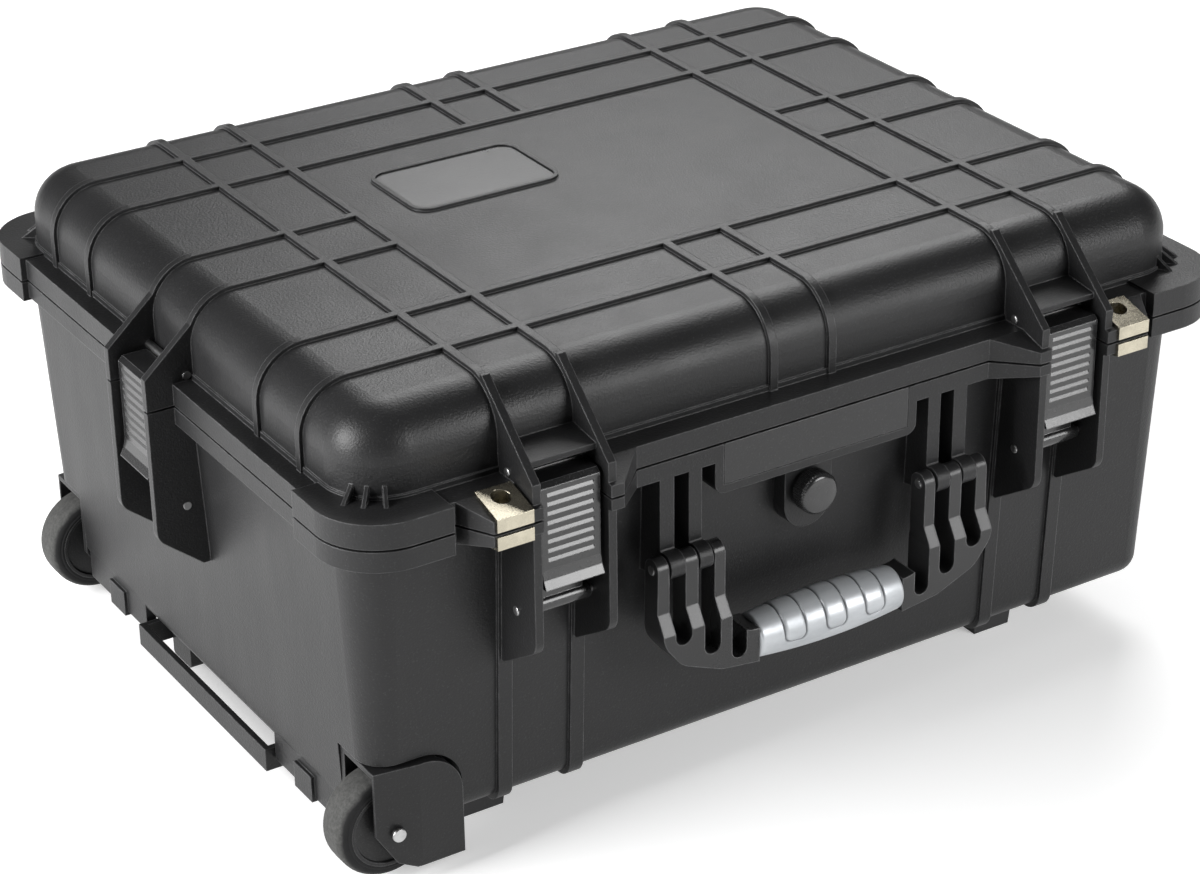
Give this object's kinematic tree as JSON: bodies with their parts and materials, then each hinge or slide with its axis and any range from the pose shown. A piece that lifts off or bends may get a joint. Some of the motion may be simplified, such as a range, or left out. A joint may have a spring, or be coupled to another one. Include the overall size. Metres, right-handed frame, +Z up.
{
  "type": "rolling camera case",
  "caption": "Hard moulded camera case with a hinged ribbed lid, throw latches, carry handle, pressure valve, wheels and a pull-out trolley handle.",
  "frame": {"origin": "centre of the case's footprint at floor level", "axes": "+X along the long side from the wheel end to the trolley grip end, -Y the side with the carry handle, +Z up"},
  "size_m": [0.56, 0.4623, 0.2647],
  "materials": {
    "shell_plastic": "moulded black, fine satin grain",
    "panel_plastic": "smooth satin black, left bare",
    "latch_plastic": "black, semi gloss",
    "handle_plastic": "black, semi gloss with moulded facets",
    "grip_rubber": "silver grey, ringed overmould",
    "pin_steel": "turned steel",
    "guard_steel": "warm nickel plate",
    "tube_aluminium": "anodised, drawn lines",
    "valve_brass": "turned brass",
    "tyre_rubber": "dark grey, lightly worn tread",
    "hub_plastic": "moulded black",
    "foot_rubber": "moulded black",
    "seal_rubber": "soft black",
    "foam": "open cell charcoal foam"
  },
  "bodies": {
    "base": {"base_shell": "shell_plastic", "base_latch_pins": "pin_steel", "handle_pins": "pin_steel", "hinge_pins": "pin_steel", "valve_housing": "shell_plastic", "feet": "foot_rubber", "end_rail": "shell_plastic", "trolley_covers": "shell_plastic", "trolley_sleeves": "tube_aluminium", "name_panel": "panel_plastic", "base_foam": "foam", "wheel_housing_front": "shell_plastic", "wheel_housing_rear": "shell_plastic", "wheel_axle_front": "pin_steel", "wheel_axle_rear": "pin_steel", "base_guard_right": "guard_steel", "base_guard_left": "guard_steel"},
    "lid": {"lid_shell": "shell_plastic", "catch_pins": "pin_steel", "lid_nameplate": "panel_plastic", "lid_seal": "seal_rubber", "lid_foam": "foam", "lid_guard_right": "guard_steel", "lid_guard_left": "guard_steel"},
    "latch_link_front_left": {"latch_link_front_left": "latch_plastic"},
    "latch_lever_front_left": {"latch_lever_front_left": "latch_plastic", "lever_pin_front_left": "pin_steel"},
    "latch_link_front_right": {"latch_link_front_right": "latch_plastic"},
    "latch_lever_front_right": {"latch_lever_front_right": "latch_plastic", "lever_pin_front_right": "pin_steel"},
    "latch_link_trolley_end": {"latch_link_trolley_end": "latch_plastic"},
    "latch_lever_trolley_end": {"latch_lever_trolley_end": "latch_plastic", "lever_pin_trolley_end": "pin_steel"},
    "latch_link_wheel_end": {"latch_link_wheel_end": "latch_plastic"},
    "latch_lever_wheel_end": {"latch_lever_wheel_end": "latch_plastic", "lever_pin_wheel_end": "pin_steel"},
    "handle": {"handle_frame": "handle_plastic", "handle_grip": "grip_rubber"},
    "valve_stem": {"valve_stem": "valve_brass"},
    "valve_knob": {"valve_knob": "latch_plastic"},
    "wheel_front": {"wheel_hub_front": "hub_plastic", "wheel_tyre_front": "tyre_rubber"},
    "wheel_rear": {"wheel_hub_rear": "hub_plastic", "wheel_tyre_rear": "tyre_rubber"},
    "trolley": {"trolley_tubes": "tube_aluminium", "trolley_grip": "latch_plastic"},
    "release_button": {"release_button": "latch_plastic"}
  },
  "joints": [
    {"name": "lid_hinge", "type": "hinge", "parent": "base", "child": "lid", "pos_m": [0, 0.2233, 0.207], "axis": [-1, 0, 0], "range_deg": [0, 100]},
    {"name": "latch_swing_front_left", "type": "hinge", "parent": "base", "child": "latch_link_front_left", "pos_m": [-0.153, -0.2085, 0.1495], "axis": [1, 0, 0], "range_deg": [0, 140]},
    {"name": "latch_flip_front_left", "type": "hinge", "parent": "latch_link_front_left", "child": "latch_lever_front_left", "pos_m": [-0.153, -0.2158, 0.2135], "axis": [-1, 0, 0], "range_deg": [0, 75]},
    {"name": "latch_swing_front_right", "type": "hinge", "parent": "base", "child": "latch_link_front_right", "pos_m": [0.153, -0.2085, 0.1495], "axis": [1, 0, 0], "range_deg": [0, 140]},
    {"name": "latch_flip_front_right", "type": "hinge", "parent": "latch_link_front_right", "child": "latch_lever_front_right", "pos_m": [0.153, -0.2158, 0.2135], "axis": [-1, 0, 0], "range_deg": [0, 75]},
    {"name": "latch_swing_trolley_end", "type": "hinge", "parent": "base", "child": "latch_link_trolley_end", "pos_m": [0.2622, 0, 0.1495], "axis": [0, 1, 0], "range_deg": [0, 140]},
    {"name": "latch_flip_trolley_end", "type": "hinge", "parent": "latch_link_trolley_end", "child": "latch_lever_trolley_end", "pos_m": [0.2695, 0, 0.2135], "axis": [0, -1, 0], "range_deg": [0, 75]},
    {"name": "latch_swing_wheel_end", "type": "hinge", "parent": "base", "child": "latch_link_wheel_end", "pos_m": [-0.2622, 0, 0.1495], "axis": [0, -1, 0], "range_deg": [0, 140]},
    {"name": "latch_flip_wheel_end", "type": "hinge", "parent": "latch_link_wheel_end", "child": "latch_lever_wheel_end", "pos_m": [-0.2695, 0, 0.2135], "axis": [0, 1, 0], "range_deg": [0, 75]},
    {"name": "handle_swing", "type": "hinge", "parent": "base", "child": "handle", "pos_m": [0, -0.214, 0.151], "axis": [-1, 0, 0], "range_deg": [0, 95]},
    {"name": "valve_travel", "type": "slide", "parent": "base", "child": "valve_stem", "axis": [0, -1, 0], "range_m": [0, 0.00225]},
    {"name": "valve_turn", "type": "hinge", "parent": "valve_stem", "child": "valve_knob", "pos_m": [0, -0.208, 0.1627], "axis": [0, -1, 0], "range_deg": [0, 540]},
    {"name": "wheel_front_spin", "type": "hinge", "parent": "base", "child": "wheel_front", "pos_m": [-0.237, -0.173, 0.033], "axis": [0, 1, 0], "continuous": true},
    {"name": "wheel_rear_spin", "type": "hinge", "parent": "base", "child": "wheel_rear", "pos_m": [-0.237, 0.173, 0.033], "axis": [0, 1, 0], "continuous": true},
    {"name": "trolley_slide", "type": "slide", "parent": "base", "child": "trolley", "axis": [1, 0, 0], "range_m": [0, 0.38]},
    {"name": "button_press", "type": "slide", "parent": "trolley", "child": "release_button", "axis": [1, 0, 0], "range_m": [0, 0.003], "stiffness_N_per_m": 800}
  ],
  "couplings": [
    {"joint": "valve_travel", "follows": "valve_turn", "m_per_rad": 0.00023873}
  ]
}
